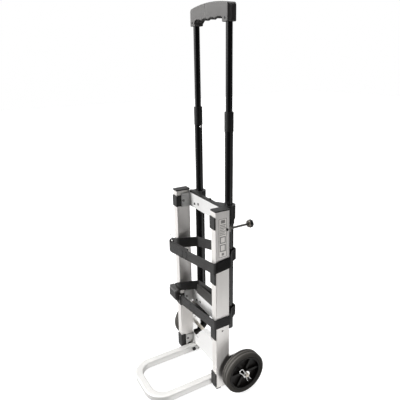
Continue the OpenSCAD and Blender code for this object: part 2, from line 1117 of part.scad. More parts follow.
module left_tyre() {
  color(dark)
    on_axle(-1)
      tyre();
}

module right_tyre() {
  color(dark)
    on_axle(1)
      tyre();
}

module left_hub() {
  color(grey)
    on_axle(-1)
      hub();
}

module right_hub() {
  color(grey)
    on_axle(1)
      hub();
}

// flat band following a closed route, upright, h high
module band(route, h) {
  n = len(route);
  last = n - 1;
  ahead = [for (i = [0 : last]) route[(i + 1) % n]];
  behind = [for (i = [0 : last]) route[(i + last) % n]];
  along = [for (i = [0 : last]) unit(ahead[i] - route[i])];
  before = [for (i = [0 : last]) unit(route[i] - behind[i])];
  side = [for (i = [0 : last]) mitre(before[i], along[i])];
  points = [
    for (i = [0 : last])
      for (c = [[-1, -1], [1, -1], [1, 1], [-1, 1]])
        [
          route[i][0] + c[0] * side[i][0] * band_t / 2,
          route[i][1] + c[0] * side[i][1] * band_t / 2,
          route[i][2] + c[1] * h / 2
        ]
  ];
  faces = [
    for (i = [0 : last])
      for (c = [0 : 3])
        for (half = [0, 1])
          half == 0
            ? [4 * i + c, 4 * ((i + 1) % n) + c, 4 * ((i + 1) % n) + (c + 1) % 4]
            : [4 * i + c, 4 * ((i + 1) % n) + (c + 1) % 4, 4 * i + (c + 1) % 4]
  ];
  polyhedron(points = points, faces = faces);
}

// plan direction of a run
function unit(v) = [v[0], v[1]] / norm([v[0], v[1]]);

// sideways step at a bend, longer on a sharp one so the band keeps its thickness
function mitre(a, b) =
  let (m = unit([-(a[1] + b[1]), a[0] + b[0]]))
  m / max(mitre_limit, m * [-b[1], b[0]]);

module upper_strap() {
  color(webbing)
    band(upper_route, upper_strap_h);
}

module lower_strap() {
  color(webbing)
    band(lower_route, lower_strap_h);
}

module upper_strap_hook() {
  outside = hook_r + hook_wire;
  color(zinc)
    translate([hook_at[0], hook_at[1] + hook_wire, hook_at[2]])
      rotate([90, 0, 0])
        linear_extrude(2 * hook_wire) {
          difference() {
            circle(r = outside, $fn = round_fn);
            circle(r = hook_r - hook_wire, $fn = round_fn);
            translate([-2 * outside, -hook_r])
              square([2 * outside, hook_r]);
          }
          translate([0, hook_r - hook_wire])
            square([hook_shank, 2 * hook_wire]);
        }
}

module lower_strap_buckle() {
  color(black)
    translate(buckle_at)
      rotate([90, 0, 0])
        translate([0, 0, -buckle_size[1] / 2])
          linear_extrude(buckle_size[1])
            difference() {
              rounded_rect(buckle_size[0], buckle_size[2], buckle_r);
              for (i = [0 : buckle_slots - 1])
                translate([0, (i - (buckle_slots - 1) / 2) * slot_pitch])
                  square(slot_size, center = true);
            }
}

module rod_bracket() {
  color(silver)
    difference() {
      box_at([rod_block[0], rod_block[1]], [post_d, rod_block_y1], [rod_block[2], rod_block[3]]);
      bar_y(rod_x, [post_d - through, rod_block_y1 + through], rod_z, rod_bore);
    }
}

module rod_screw() {
  color(dark) {
    bar_x([post_out, post_out + screw_head_t], rod_screw_y, rod_screw_z, screw_head_r);
    bar_x([rod_screw_x0, post_out + bite], rod_screw_y, rod_screw_z, screw_r);
  }
}

module rear_rod() {
  color(steel)
    bar_y(rod_x, [rod_y0, rod_y1], rod_z, rod_r);
}

module rod_washer() {
  color(zinc)
    difference() {
      bar_y(rod_x, rod_washer_y, rod_z, rod_washer_r);
      bar_y(rod_x, [rod_washer_y[0] - through, rod_washer_y[1] + through], rod_z, rod_bore);
    }
}

module knob() {
  color(black)
    difference() {
      union() {
        bar_y(rod_x, [rod_washer_y[1], knob_y0 + overlap], rod_z, knob_neck_r);
        bar_y(rod_x, [knob_y0, knob_y1], rod_z, knob_r - overlap);
        for (i = [0 : knob_lobes - 1]) {
          turn = i * 360 / knob_lobes;
          bar_y(rod_x + (knob_r - knob_lobe_r) * cos(turn), [knob_y0, knob_y1],
            rod_z + (knob_r - knob_lobe_r) * sin(turn), knob_lobe_r);
        }
      }
      bar_y(rod_x, [rod_washer_y[1] - through, rod_y1 + slip], rod_z, rod_bore);
    }
}

module blank_label() {
  color(white)
    difference() {
      box_at([post_out, post_out + label_t], label_y, label_z);
      bar_x([post_out - through, post_out + through], rod_screw_y, rod_screw_z,
        screw_head_r + slip);
    }
}

placed() {
  left_post();
  right_post();
  post_caps();
  post_foot_plugs();
  left_pads();
  right_pads();
  top_crossbar();
  mid_crossbar();
  lower_plate();
  top_tube_holder();
  lower_tube_holder();
  left_outer_tube();
  right_outer_tube();
  tube_feet();
  frame_rivets();
  holder_screws();
  left_axle_bracket();
  right_axle_bracket();
  bracket_bolts();
  axle();
  axle_spacers();
  axle_washers();
  axle_clips();
  left_hinge_block();
  right_hinge_block();
  toe_pivot_bolts();
  toe_spacers();
  upper_strap();
  lower_strap();
  upper_strap_hook();
  lower_strap_buckle();
  rod_bracket();
  rod_screw();
  rear_rod();
  rod_washer();
  blank_label();
  left_middle_tube();
  right_middle_tube();
  left_collar();
  right_collar();
  middle_bushes();
  lower_button_springs();
  left_upper_tube();
  right_upper_tube();
  upper_bushes();
  upper_button_springs();
  grip_front();
  grip_rear();
  grip_screws();
  left_upper_button();
  right_upper_button();
  left_lower_button();
  right_lower_button();
  toe_loop();
  toe_end_plugs();
  left_tyre();
  left_hub();
  right_tyre();
  right_hub();
  knob();
}
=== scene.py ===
import json
import math
import random

import bmesh
import bpy
from mathutils import Matrix, Vector


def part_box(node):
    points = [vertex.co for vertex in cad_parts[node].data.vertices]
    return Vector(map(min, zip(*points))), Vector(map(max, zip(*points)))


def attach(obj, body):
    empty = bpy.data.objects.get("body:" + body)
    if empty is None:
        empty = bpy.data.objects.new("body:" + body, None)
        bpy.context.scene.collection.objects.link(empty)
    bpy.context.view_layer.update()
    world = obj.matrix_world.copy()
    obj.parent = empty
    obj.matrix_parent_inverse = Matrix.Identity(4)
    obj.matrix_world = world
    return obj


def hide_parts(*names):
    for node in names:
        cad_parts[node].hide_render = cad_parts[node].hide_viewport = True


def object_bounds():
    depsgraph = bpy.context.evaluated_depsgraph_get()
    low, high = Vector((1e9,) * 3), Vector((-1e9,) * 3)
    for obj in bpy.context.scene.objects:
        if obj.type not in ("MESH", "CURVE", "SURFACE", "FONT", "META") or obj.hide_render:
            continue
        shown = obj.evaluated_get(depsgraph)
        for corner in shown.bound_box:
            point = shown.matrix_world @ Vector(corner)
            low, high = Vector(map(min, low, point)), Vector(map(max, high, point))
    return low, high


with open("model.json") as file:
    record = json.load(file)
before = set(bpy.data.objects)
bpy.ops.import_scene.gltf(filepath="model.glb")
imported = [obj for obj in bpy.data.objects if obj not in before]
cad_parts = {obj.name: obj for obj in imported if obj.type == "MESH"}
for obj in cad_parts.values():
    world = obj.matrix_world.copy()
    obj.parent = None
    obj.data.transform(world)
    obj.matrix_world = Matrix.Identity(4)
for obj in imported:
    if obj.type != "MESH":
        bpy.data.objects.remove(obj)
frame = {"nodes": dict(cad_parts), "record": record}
cad_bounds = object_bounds()
MM = 0.001
X_AXIS, Z_AXIS = Vector((1, 0, 0)), Vector((0, 0, 1))


# ---------------------------------------------------------------- node helpers

def add(tree, kind, inputs=None, **props):
    """A shader node with its properties set and its inputs set or linked."""
    node = tree.nodes.new("ShaderNode" + kind)
    for key, value in props.items():
        setattr(node, key, value)
    for key, value in (inputs or {}).items():
        if isinstance(value, bpy.types.NodeSocket):
            tree.links.new(value, node.inputs[key])
        else:
            node.inputs[key].default_value = value
    return node


def maths(tree, operation, a, b=0.0, clamp=False):
    return add(tree, "Math", {0: a, 1: b}, operation=operation, use_clamp=clamp).outputs[0]


def span(tree, value, low, high, source=(0.0, 1.0)):
    """value moved from the source range to low..high, clamped."""
    return add(tree, "MapRange", {
        "Value": value, "From Min": source[0], "From Max": source[1],
        "To Min": low, "To Max": high}).outputs["Result"]


def rgba(colour):
    return (colour[0], colour[1], colour[2], 1.0)


def blend_colour(tree, factor, a, b, mode="MIX"):
    node = add(tree, "Mix", data_type="RGBA", blend_type=mode)
    for socket, value in ((node.inputs[0], factor), (node.inputs[6], a), (node.inputs[7], b)):
        if isinstance(value, bpy.types.NodeSocket):
            tree.links.new(value, socket)
        elif isinstance(value, (int, float)):
            socket.default_value = value
        else:
            socket.default_value = rgba(value)
    return node.outputs[2]


def noise(tree, coords, scale, stretch=(1, 1, 1), detail=3.0, rough=0.55):
    placed = add(tree, "Mapping", {"Vector": coords, "Scale": stretch}).outputs[0]
    return add(tree, "TexNoise", {
        "Vector": placed, "Scale": scale, "Detail": detail, "Roughness": rough}).outputs["Fac"]


def new_material(name):
    material = bpy.data.materials.new(name)
    material.use_nodes = True
    tree = material.node_tree
    return material, tree, tree.nodes["Principled BSDF"]


def grey_tone(tree, colour, shade):
    """A colour made lighter and darker by a value."""
    grey = add(tree, "CombineColor", {0: shade, 1: shade, 2: shade}).outputs[0]
    return blend_colour(tree, 1.0, colour, grey, "MULTIPLY")


def rounded_normal(tree, radius):
    """The normal with the edges rounded by a radius in mm, or as it is where the radius is 0."""
    if radius:
        return add(tree, "Bevel", {"Radius": radius * MM}, samples=4).outputs[0]
    return add(tree, "NewGeometry").outputs["Normal"]


def set_relief(tree, shader, height, strength, depth, normal=None):
    """Bump from a height, depth in mm, over a rounded normal where there is one."""
    sockets = {"Height": height, "Strength": strength, "Distance": depth * MM}
    if normal is not None:
        sockets["Normal"] = normal
    relief = add(tree, "Bump", sockets)
    tree.links.new(relief.outputs[0], shader.inputs["Normal"])


# ---------------------------------------------------------------- materials

# most values of a noise texture lie between these two
NOISE_BAND = (0.3, 0.7)
DIRT_COLOUR = (0.30, 0.28, 0.25)
# noise scales of the patches where edges are worn and where dirt lies
WEAR_SCALE, DIRT_SCALE = 120.0, 30.0
EDGE_GAIN = 7.0
COAT_ROUGH = 0.12
GRAIN_DEPTH = 0.15


def worn_edges(tree, coords, tone, bent, amount, colour):
    """Another colour in patches along the edges, where the rounded normal leaves the plain one."""
    flat = add(tree, "NewGeometry").outputs["Normal"]
    same = add(tree, "VectorMath", {0: bent, 1: flat}, operation="DOT_PRODUCT").outputs["Value"]
    edge = maths(tree, "MULTIPLY", maths(tree, "SUBTRACT", 1.0, same), EDGE_GAIN, clamp=True)
    least = 0.15
    patchy = span(tree, noise(tree, coords, WEAR_SCALE), least, 1.0, (0.35, 0.65))
    worn = maths(tree, "MULTIPLY", maths(tree, "MULTIPLY", edge, patchy), amount)
    return blend_colour(tree, worn, tone, colour)


def smeared(tree, coords, tone, amount):
    """Soft patches of dirt."""
    patches = noise(tree, coords, DIRT_SCALE, detail=5.0, rough=0.7)
    return blend_colour(tree, span(tree, patches, 0.0, amount, (0.5, 0.8)), tone, DIRT_COLOUR)


def surface(name, colour, rough, metallic=0.0, specular=0.5, grain=900.0, stretch=(1, 1, 1),
            bump=0.12, mottle=0.05, mottle_scale=16.0, rough_swing=0.06, wear=0.0,
            wear_colour=(0.6, 0.6, 0.6), radius=0.5, coat=0.0, dirt=0.0):
    """A moulded, brushed or painted finish: grain in colour, gloss and bump, and worn edges.
    grain and mottle_scale are noise scales; radius rounds the edges in the shading, in mm."""
    material, tree, shader = new_material(name)
    coords = add(tree, "TexCoord").outputs["Object"]
    fine = noise(tree, coords, grain, stretch)
    broad = noise(tree, coords, mottle_scale, detail=4.0)
    fine_mottle = mottle * 0.6
    shade = maths(tree, "MULTIPLY", span(tree, broad, 1 - mottle, 1 + mottle, NOISE_BAND),
                  span(tree, fine, 1 - fine_mottle, 1 + fine_mottle, NOISE_BAND))
    tone = grey_tone(tree, colour, shade)
    bent = rounded_normal(tree, radius)
    if wear:
        tone = worn_edges(tree, coords, tone, bent, wear, wear_colour)
    if dirt:
        tone = smeared(tree, coords, tone, dirt)
    tree.links.new(tone, shader.inputs["Base Color"])
    gloss = maths(tree, "ADD", span(tree, fine, rough - rough_swing, rough + rough_swing, NOISE_BAND),
                  span(tree, broad, -rough_swing / 2, rough_swing / 2, NOISE_BAND))
    tree.links.new(gloss, shader.inputs["Roughness"])
    set_relief(tree, shader, fine, bump, GRAIN_DEPTH, bent)
    shader.inputs["Metallic"].default_value = metallic
    shader.inputs["Specular IOR Level"].default_value = specular
    shader.inputs["Coat Weight"].default_value = coat
    shader.inputs["Coat Roughness"].default_value = COAT_ROUGH
    return material


def webbing(name, colour, pitch=2.0, row_width=1.5, shine=0.25):
    """Woven tape: u runs along it and v across it, both in metres. pitch is the length of a
    yarn's turn and row_width the width of a row, both in mm."""
    material, tree, shader = new_material(name)
    # each pair is for the gaps between yarns and for the yarns' tops; the tone pair paints shade into the
    # gaps and light onto the tops
    weave_shade_range, rough_range = (0.55, 1.18), (0.85, 0.62)
    yarn_shape, rib_shape, fuzz_share = 0.6, 0.7, 0.35
    uv = add(tree, "SeparateXYZ", {0: add(tree, "TexCoord").outputs["UV"]})
    along = maths(tree, "DIVIDE", uv.outputs[0], pitch * MM)
    across = maths(tree, "DIVIDE", uv.outputs[1], row_width * MM)
    half_step = maths(tree, "MULTIPLY", maths(tree, "FLOOR", across), 0.5)
    turn = maths(tree, "MULTIPLY", maths(tree, "ADD", along, half_step), math.pi)
    yarn = maths(tree, "ABSOLUTE", maths(tree, "SINE", turn))
    rib = maths(tree, "ABSOLUTE", maths(tree, "SINE", maths(tree, "MULTIPLY", across, math.pi)))
    weave = maths(tree, "MULTIPLY", maths(tree, "POWER", yarn, yarn_shape),
                  maths(tree, "POWER", rib, rib_shape))
    coords = add(tree, "TexCoord").outputs["Object"]
    fuzz = noise(tree, coords, 1400.0, detail=4.0)
    fade = noise(tree, coords, 25.0, detail=4.0)
    uneven = maths(tree, "MULTIPLY", span(tree, fuzz, 0.85, 1.15, NOISE_BAND),
                   span(tree, fade, 0.9, 1.1, NOISE_BAND))
    # painted shade and painted light: the tone darkens in the gaps between yarns and lightens on their tops
    light = maths(tree, "MULTIPLY", span(tree, weave, *weave_shade_range), uneven)
    tree.links.new(grey_tone(tree, colour, light), shader.inputs["Base Color"])
    tree.links.new(span(tree, weave, *rough_range), shader.inputs["Roughness"])
    height = maths(tree, "ADD", weave, maths(tree, "MULTIPLY", fuzz, fuzz_share))
    set_relief(tree, shader, height, 0.7, 0.35)
    shader.inputs["Specular IOR Level"].default_value = shine
    shader.inputs["Sheen Weight"].default_value = 0.05
    return material


def label_film(name):
    """A silvery film with a thin border, plain frames and bars, and no lettering. The places of
    its marks are shares of its width and height."""
    material, tree, shader = new_material(name)
    low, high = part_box("blank_label")
    coords = add(tree, "TexCoord").outputs["Object"]
    place = add(tree, "SeparateXYZ", {0: coords})
    across = span(tree, place.outputs[1], 0.0, 1.0, (low.y, high.y))
    up = span(tree, place.outputs[2], 0.0, 1.0, (low.z, high.z))

    def slab(value, first, last):
        """1 between the two values, else 0."""
        return add(tree, "Math", {0: value, 1: (first + last) / 2, 2: (last - first) / 2},
                   operation="COMPARE").outputs[0]

    def block(left, right, foot, top):
        return maths(tree, "MULTIPLY", slab(across, left, right), slab(up, foot, top))

    def frame_mark(left, right, foot, top, wide, tall):
        inner = block(left + wide, right - wide, foot + tall, top - tall)
        return maths(tree, "SUBTRACT", block(left, right, foot, top), inner, clamp=True)

    left, right, bar = 0.18, 0.82, 0.016
    bar_ends = ((0.58, right), (0.62, 0.7), (0.66, right), (0.70, 0.6), (0.74, right), (0.78, 0.75),
                (0.82, right))
    marks = frame_mark(0.05, 0.95, 0.015, 0.985, 0.05, 0.012)
    others = [block(left, end, foot, foot + bar) for foot, end in bar_ends]
    others += [frame_mark(left, right, foot, top, 0.1, 0.022) for foot, top in ((0.16, 0.34), (0.37, 0.54))]
    others += [block(0.38, 0.62, 0.06, 0.12), block(0.3, 0.75, 0.87, 0.95)]
    for mark in others:
        marks = maths(tree, "MAXIMUM", marks, mark)
    fibres = noise(tree, coords, 60.0, (1, 1, 0.4), detail=5.0)
    silver, dull, print_colour = (0.86, 0.83, 0.80), (0.76, 0.73, 0.69), (0.10, 0.098, 0.095)
    tone = blend_colour(tree, span(tree, fibres, 0.0, 0.35, (0.35, 0.7)), silver, dull)
    tone = blend_colour(tree, maths(tree, "MULTIPLY", marks, 0.8), tone, print_colour)
    tree.links.new(tone, shader.inputs["Base Color"])
    tree.links.new(span(tree, fibres, 0.34, 0.5, NOISE_BAND), shader.inputs["Roughness"])
    set_relief(tree, shader, fibres, 0.15, 0.2)
    shader.inputs["Metallic"].default_value = 0.6
    return material


def tyre_rubber(name, ring_pitch=3.2, ridge_pitch=8.67):
    """Grey moulded rubber: fine rings on the walls, and a dusty tread with lighter stripes round it, a
    painted highlight for the light on its ridges.
    Both pitches are in mm."""
    material, tree, shader = new_material(name)
    coords = add(tree, "TexCoord").outputs["Object"]
    low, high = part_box("right_tyre")
    middle = (low + high) / 2
    tyre_radius = high.z - middle.z
    wheel = add(tree, "Mapping", {"Vector": coords, "Location": (0, -middle.y, -middle.z)}).outputs[0]
    part = add(tree, "SeparateXYZ", {0: wheel})
    out = maths(tree, "SQRT", maths(tree, "ADD", maths(tree, "POWER", part.outputs[1], 2.0),
                                    maths(tree, "POWER", part.outputs[2], 2.0)))
    rings = maths(tree, "SINE", maths(tree, "MULTIPLY", out, 2 * math.pi / (ring_pitch * MM)))
    fine = noise(tree, coords, 1100.0)
    dust = noise(tree, coords, 22.0, detail=5.0, rough=0.65)
    shoulder = (tyre_radius - 5 * MM, tyre_radius - 1 * MM)
    tread = span(tree, out, 0.0, 1.0, shoulder)
    rubber, dusty, ridge_highlight_colour = (0.044, 0.041, 0.037), (0.074, 0.069, 0.062), (0.16, 0.15, 0.138)
    tone = blend_colour(tree, span(tree, dust, 0.0, 0.6, (0.4, 0.75)), rubber, dusty)
    # painted highlight: lighter stripes round the tread only, in colour alone, standing for light on the
    # tread's ridges
    ridge = maths(tree, "SINE", maths(tree, "MULTIPLY", part.outputs[0], 2 * math.pi / (ridge_pitch * MM)))
    ridge = span(tree, ridge, 0.0, 0.85, (-0.3, 0.9))
    tone = blend_colour(tree, maths(tree, "MULTIPLY", tread, ridge), tone, ridge_highlight_colour)
    tree.links.new(tone, shader.inputs["Base Color"])
    tree.links.new(span(tree, dust, 0.62, 0.82, NOISE_BAND), shader.inputs["Roughness"])
    height = maths(tree, "ADD", fine, maths(tree, "MULTIPLY", rings, 0.3))
    set_relief(tree, shader, height, 0.3, 0.25, rounded_normal(tree, 0.8))
    shader.inputs["Specular IOR Level"].default_value = 0.3
    return material


# how far the grain is drawn out along each axis, for brushed and drawn metal
UPRIGHT = (1, 1, 0.015)
FORE_AFT = (1, 0.015, 1)
ACROSS = (0.02, 1, 1)

FINISHES = {
    "post_metal": dict(colour=(0.83, 0.805, 0.78), rough=0.43, metallic=0.52, grain=700.0,
                       stretch=UPRIGHT, bump=0.25, mottle=0.05, rough_swing=0.08, wear=0.5,
                       wear_colour=(0.9, 0.9, 0.9)),
    "toe_metal": dict(colour=(0.82, 0.81, 0.79), rough=0.42, metallic=0.3, grain=700.0, stretch=FORE_AFT,
                      bump=0.2, mottle=0.04, wear=0.4, wear_colour=(0.93, 0.93, 0.93)),
    "block_metal": dict(colour=(0.92, 0.91, 0.89), rough=0.42, metallic=0.15, grain=600.0, stretch=ACROSS,
                        bump=0.25, wear=0.4, wear_colour=(0.9, 0.9, 0.9)),
    "white_sheet": dict(colour=(0.84, 0.835, 0.825), rough=0.38, specular=0.45, grain=420.0, bump=0.16,
                        mottle=0.025, wear=0.35, wear_colour=(0.62, 0.62, 0.62), dirt=0.06),
    "black_tube": dict(colour=(0.009, 0.009, 0.0095), rough=0.14, specular=0.42, grain=650.0,
                       stretch=UPRIGHT, bump=0.05, mottle=0.2, rough_swing=0.05, radius=0),
    "black_plastic": dict(colour=(0.014, 0.014, 0.014), rough=0.42, specular=0.35, grain=1200.0,
                          bump=0.25, mottle=0.2, wear=0.3, wear_colour=(0.06, 0.06, 0.06)),
    "dark_plastic": dict(colour=(0.045, 0.044, 0.042), rough=0.45, specular=0.35, grain=1200.0, bump=0.25,
                         mottle=0.15, wear=0.3, wear_colour=(0.12, 0.12, 0.12)),
    "collar_plastic": dict(colour=(0.012, 0.012, 0.012), rough=0.4, specular=0.35, grain=1300.0, bump=0.3,
                           mottle=0.2, wear=0.3, wear_colour=(0.05, 0.05, 0.05)),
    "bush_plastic": dict(colour=(0.3, 0.3, 0.3), rough=0.5, bump=0.15),
    "grip_plastic": dict(colour=(0.205, 0.2, 0.196), rough=0.5, specular=0.2, grain=1300.0, bump=0.4,
                         mottle=0.07, mottle_scale=30.0, wear=0.25, wear_colour=(0.4, 0.4, 0.39),
                         dirt=0.08),
    "hub_plastic": dict(colour=(0.012, 0.011, 0.010), rough=0.5, specular=0.16, grain=1100.0, bump=0.2,
                        mottle=0.2, wear=0.35, wear_colour=(0.05, 0.05, 0.05)),
    "knob_plastic": dict(colour=(0.05, 0.048, 0.046), rough=0.4, specular=0.4, grain=1100.0, bump=0.2,
                         mottle=0.12, wear=0.3, wear_colour=(0.12, 0.12, 0.12)),
    "buckle_plastic": dict(colour=(0.02, 0.019, 0.018), rough=0.3, specular=0.5, coat=0.6, grain=1000.0,
                           bump=0.1, mottle=0.15, wear=0.5, wear_colour=(0.2, 0.18, 0.16)),
    "zinc": dict(colour=(0.72, 0.72, 0.71), rough=0.3, metallic=0.85, grain=500.0, bump=0.3, mottle=0.12,
                 mottle_scale=60.0, rough_swing=0.1, wear=0.4, wear_colour=(0.85, 0.85, 0.85)),
    "rivet_metal": dict(colour=(0.2, 0.2, 0.2), rough=0.4, metallic=0.6, grain=800.0, bump=0.2,
                        mottle=0.1, wear=0.4, wear_colour=(0.8, 0.8, 0.8)),
    "dark_screw": dict(colour=(0.02, 0.02, 0.02), rough=0.4, metallic=0.2, specular=0.3, grain=900.0,
                       bump=0.2, wear=0.5, wear_colour=(0.3, 0.3, 0.3)),
    "spring_steel": dict(colour=(0.55, 0.55, 0.56), rough=0.25, metallic=0.95, bump=0.1),
    "button_chrome": dict(colour=(0.8, 0.8, 0.8), rough=0.14, metallic=1.0, bump=0.03, mottle=0.03),
    "pad_rubber": dict(colour=(0.025, 0.025, 0.025), rough=0.62, specular=0.3, grain=1000.0, bump=0.4,
                       mottle=0.12, radius=0.8, wear=0.4, wear_colour=(0.12, 0.12, 0.12), dirt=0.1),
    "rod_steel": dict(colour=(0.14, 0.135, 0.125), rough=0.3, metallic=0.85, grain=500.0, bump=0.3,
                      mottle=0.15, mottle_scale=70.0, rough_swing=0.1, wear=0.4,
                      wear_colour=(0.6, 0.6, 0.6)),
    "rod_cream": dict(colour=(0.80, 0.74, 0.64), rough=0.42, metallic=0.2, grain=500.0, bump=0.3,
                      mottle=0.1, wear=0.3, wear_colour=(0.75, 0.72, 0.66)),
    # the clips' zinc made near white and barely metallic: a painted reflection standing for the shine of
    # the bare metal
    "clip_wire": dict(colour=(0.95, 0.95, 0.94), rough=0.35, metallic=0.25, grain=500.0, bump=0.2,
                      mottle=0.1),
    "stitch_thread": dict(colour=(0.05, 0.05, 0.05), rough=0.55, specular=0.3, grain=2600.0, bump=0.5),
}
finishes = {name: surface(name, **settings) for name, settings in FINISHES.items()}
finishes["tyre_rubber"] = tyre_rubber("tyre_rubber")
finishes["webbing"] = webbing("webbing", (0.049, 0.048, 0.0475))
finishes["label_film"] = label_film("label_film")


# ---------------------------------------------------------------- the CAD nodes

slot_of = {part["node"]: part["material_slot"] for part in frame["record"]["subparts"]}
# nodes that look unlike the rest of their slot
OWN_FINISH = {"rear_rod": "rod_steel", "rod_bracket": "rod_steel",
              "rod_washer": "rod_cream", "axle": "rod_cream"}
WELD_GAP = 0.01 * MM
SHARP_ANGLE = math.radians(32)
for name, thing in frame["nodes"].items():
    mesh = thing.data
    mesh.materials.clear()
    mesh.materials.append(finishes[OWN_FINISH.get(name, slot_of[name])])
    if "custom_normal" in mesh.attributes:
        mesh.attributes.remove(mesh.attributes["custom_normal"])
    weld = thing.modifiers.new("weld", "WELD")
    weld.merge_threshold = WELD_GAP
    mesh.shade_smooth()
    edges = thing.modifiers.new("edges", "EDGE_SPLIT")
    edges.split_angle = SHARP_ANGLE


# ---------------------------------------------------------------- mesh helpers

def add_object(name, data):
    thing = bpy.data.objects.new(name, data)
    bpy.context.scene.collection.objects.link(thing)
    return thing


def new_piece(name, bm, slot, body, *stands_for):
    """An object from a bmesh, smooth, with its slot's finish, riding one body."""
    mesh = bpy.data.meshes.new(name)
    bm.normal_update()
    bm.to_mesh(mesh)
    bm.free()
    mesh.shade_smooth()
    piece = add_object(name, mesh)
    mesh.materials.append(finishes[slot])
    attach(piece, body)
    if stands_for:
        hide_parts(*stands_for)
    return piece


def running_lengths(points):
    """The distance to each point of a closed path from its first, and the whole way round."""
    lengths = [0.0]
    for i in range(1, len(points) + 1):
        lengths.append(lengths[-1] + (points[i % len(points)] - points[i - 1]).length)
    return lengths


def skin(bm, rings):
    """Faces between rings of vertices, with both ends closed."""
    count = len(rings[0])
    for a, b in zip(rings, rings[1:]):
        for k in range(count):
            bm.faces.new((a[k], a[(k + 1) % count], b[(k + 1) % count], b[k]))
    bm.faces.new(rings[-1])
    bm.faces.new(list(reversed(rings[0])))


def sweep(bm, path, section, closed):
    """A section carried along a path, with UVs in metres. section(i, point, along) gives its
    points at one point of the path."""
    uv = bm.loops.layers.uv.verify()
    count = len(path)
    rings = []
    for i, point in enumerate(path):
        ahead = path[(i + 1) % count] if closed or i + 1 < count else point
        behind = path[i - 1] if closed or i > 0 else point
        rings.append([bm.verts.new(p) for p in section(i, point, (ahead - behind).normalized())])
    size = len(rings[0])
    lengths = running_lengths(path)
    around = running_lengths([vert.co for vert in rings[0]])
    for i in range(count if closed else count - 1):
        a, b = rings[i], rings[(i + 1) % count]
        for k in range(size):
            face = bm.faces.new((a[k], a[(k + 1) % size], b[(k + 1) % size], b[k]))
            spots = ((lengths[i], around[k]), (lengths[i], around[k + 1]),
                     (lengths[i + 1], around[k + 1]), (lengths[i + 1], around[k]))
            for loop, spot in zip(face.loops, spots):
                loop[uv].uv = spot
    if not closed:
        bm.faces.new(list(reversed(rings[0])))
        bm.faces.new(rings[-1])
    bmesh.ops.recalc_face_normals(bm, faces=bm.faces)


def wire(bm, path, radius, sides=14):
    """Round wire along an open path, with domed ends."""
    dome, tip = radius * 0.6, 0.55
    full = [path[0] - (path[1] - path[0]).normalized() * dome] + list(path)
    full.append(path[-1] + (path[-1] - path[-2]).normalized() * dome)
    frames = []
    normal = (full[1] - full[0]).orthogonal().normalized()
    for i in range(len(full)):
        ahead = full[min(i + 1, len(full) - 1)]
        behind = full[max(i - 1, 0)]
        along = (ahead - behind).normalized()
        normal = (normal - along * normal.dot(along)).normalized()
        frames.append((normal.copy(), along.cross(normal)))

    def section(i, point, along):
        size = radius * (tip if i in (0, len(full) - 1) else 1.0)
        side, up = frames[i]
        return [point + size * (math.cos(t) * side + math.sin(t) * up)
                for t in (2 * math.pi * k / sides for k in range(sides))]

    sweep(bm, full, section, False)


def filleted(points, radius, closed=True, steps=6, gap=None):
    """The path with each corner turned into a short arc, and long runs divided. An arc takes up
    less than half of the run on either side of it."""
    longest = 0.45
    out = []
    count = len(points)
    for i in range(count):
        if not closed and i in (0, count - 1):
            out.append(points[i].copy())
            continue
        a, b, c = points[i - 1], points[i], points[(i + 1) % count]
        cut = min(radius, (a - b).length * longest, (c - b).length * longest)
        start, end = b + (a - b).normalized() * cut, b + (c - b).normalized() * cut
        for k in range(steps + 1):
            t = k / steps
            out.append(start * (1 - t) ** 2 + b * 2 * t * (1 - t) + end * t ** 2)
    if not gap:
        return out
    full = []
    for i in range(len(out) if closed else len(out) - 1):
        a, b = out[i], out[(i + 1) % len(out)]
        parts = max(1, round((b - a).length / gap))
        full.extend(a.lerp(b, k / parts) for k in range(parts))
    if not closed:
        full.append(out[-1])
    return full


def tape_section(width, thick):
    """Section of a flat upright tape: two flat faces and soft edges."""
    half_turn, rows = 6, 9
    r = thick / 2
    edge = r * 0.8
    flat = width / 2 - edge
    outline = []
    for sign in (1, -1):
        for k in range(half_turn + 1):
            t = math.pi * k / half_turn
            outline.append((sign * math.cos(t) * r, sign * (flat + math.sin(t) * edge)))
        outline += [(-sign * r, sign * flat * (1 - 2 * k / rows)) for k in range(1, rows)]
    return outline


def tape(bm, path, width, thick, closed, seed):
    """Upright tape along a path, not quite straight."""
    wobble, slow, slower = 0.25 * MM, 0.37, 0.11
    outline = tape_section(width, thick)
    phase = random.Random(seed).uniform(0, 6)

    def section(i, point, along):
        side = Vector((-along.y, along.x, 0)).normalized()
        drift = wobble * math.sin(i * slow + phase) * math.sin(i * slower + 2 * phase)
        return [point + side * (x + drift) + Z_AXIS * z for x, z in outline]

    sweep(bm, path, section, closed)


def capsule(bm, a, b, radius):
    """A short stitch: a round bead drawn out between two points."""
    along = b - a
    turn = along.to_track_quat("X", "Z").to_matrix().to_4x4()
    place = Matrix.Translation((a + b) / 2) @ turn @ Matrix.Diagonal(
        (along.length / 2 + radius, radius, radius, 1))
    bmesh.ops.create_uvsphere(bm, u_segments=8, v_segments=6, radius=1.0, matrix=place)


def arc(centre, radius, first, last, steps, axis_a, axis_b):
    return [centre + radius * (math.cos(t) * axis_a + math.sin(t) * axis_b)
            for t in (math.radians(first + (last - first) * k / steps) for k in range(steps + 1))]


# ---------------------------------------------------------------- straps

STRAP_THICK, FOLD_THICK = 2.1 * MM, 1.8 * MM
STRAP_CORNER, STRAP_STEP = 3 * MM, 6 * MM
FOLD_BEHIND = 3.0 * MM
# widths of the fold and of its stitches, as shares of the strap's width
FOLD_SHARE, TACK_SHARE = 0.96, 0.72
STITCH_LIFT = 1.15 * MM
# how far the two blocks of stitches are from the end of the fold, as shares of the front run
TACK_PLACES = (0.02, 0.12)
upper_height, lower_height = 30 * MM, 28 * MM

post_lo, post_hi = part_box("right_post")
left_lo, left_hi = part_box("left_post")
tube_lo, tube_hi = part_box("right_outer_tube")
left_tube_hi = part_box("left_outer_tube")[1]


